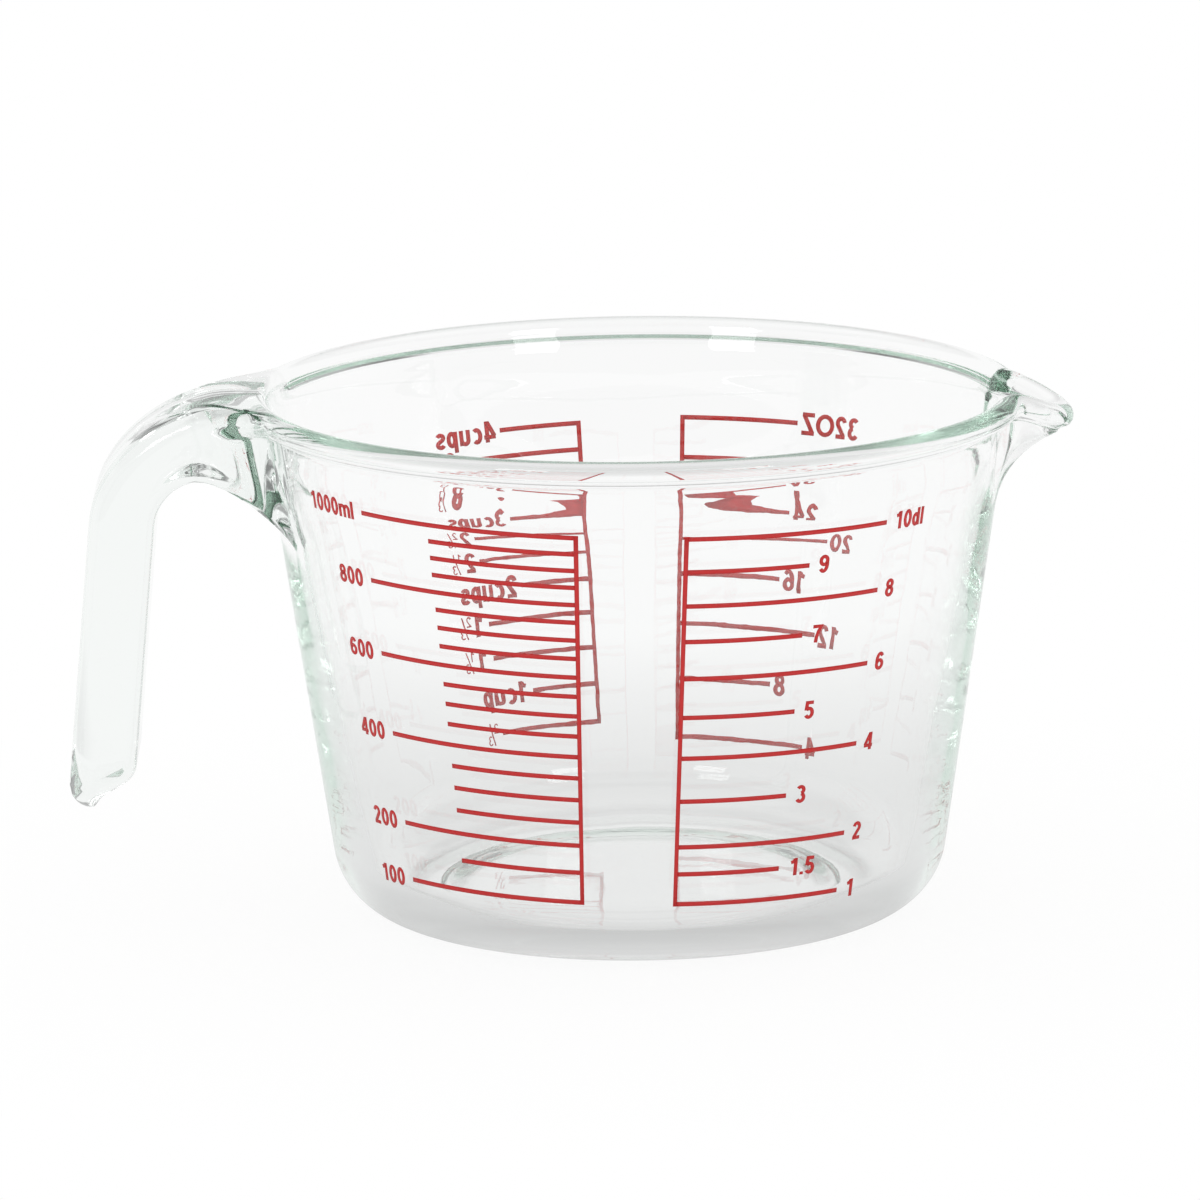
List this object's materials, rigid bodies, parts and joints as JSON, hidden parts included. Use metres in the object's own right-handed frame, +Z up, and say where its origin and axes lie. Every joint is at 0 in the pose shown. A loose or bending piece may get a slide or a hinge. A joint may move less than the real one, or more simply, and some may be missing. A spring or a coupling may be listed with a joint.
{
  "type": "measuring jug",
  "caption": "Clear pressed-glass measuring jug with a rounded rim bead, pulled spout, open-ended hooked handle and red printed volume scales.",
  "frame": {"origin": "on the vessel's axis, in the plane of the flat standing ring under the base", "axes": "+Z up through the open mouth, +X towards the spout, -X towards the handle, -Y towards the side that carries the metric scales"},
  "size_m": [0.1997, 0.1544, 0.1048],
  "materials": {
    "pressed_glass": "clear, fire-polished",
    "fired_enamel": "glossy fired enamel print"
  },
  "bodies": {
    "root": {"glass_jug": "pressed_glass", "millilitre_scale": "fired_enamel", "decilitre_scale": "fired_enamel", "cup_scale": "fired_enamel", "ounce_scale": "fired_enamel"}
  },
  "joints": []
}
